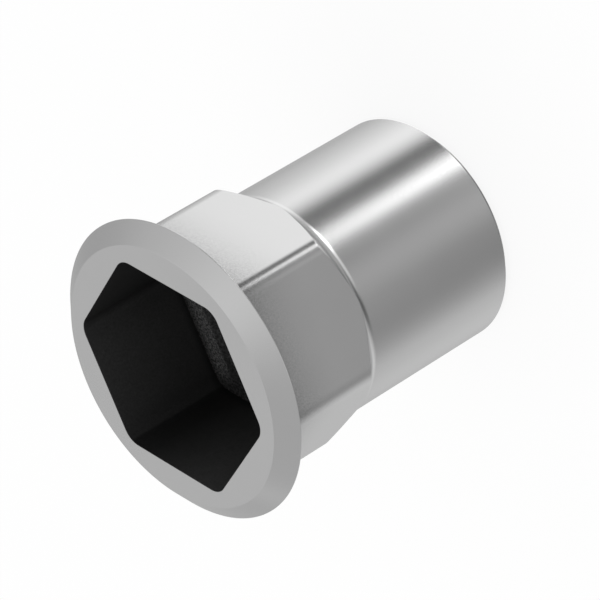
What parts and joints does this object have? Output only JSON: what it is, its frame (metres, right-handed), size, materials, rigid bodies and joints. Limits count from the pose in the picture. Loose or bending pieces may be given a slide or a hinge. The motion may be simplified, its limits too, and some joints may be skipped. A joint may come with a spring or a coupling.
{
  "type": "hex rivet nut",
  "caption": "Open-ended blind rivet nut: small chamfered head, hexagonal upper body and cavity, round threaded shank.",
  "frame": {"origin": "centre of the round end's face, on which the nut stands", "axes": "+Z along the axis from the round end to the head; two of the hexagon's flats face +Y and -Y"},
  "size_m": [0.0142, 0.0142, 0.0158],
  "materials": {
    "steel": "smooth satin, bright plated"
  },
  "bodies": {
    "root": {"rivet_nut": "steel"}
  },
  "joints": []
}
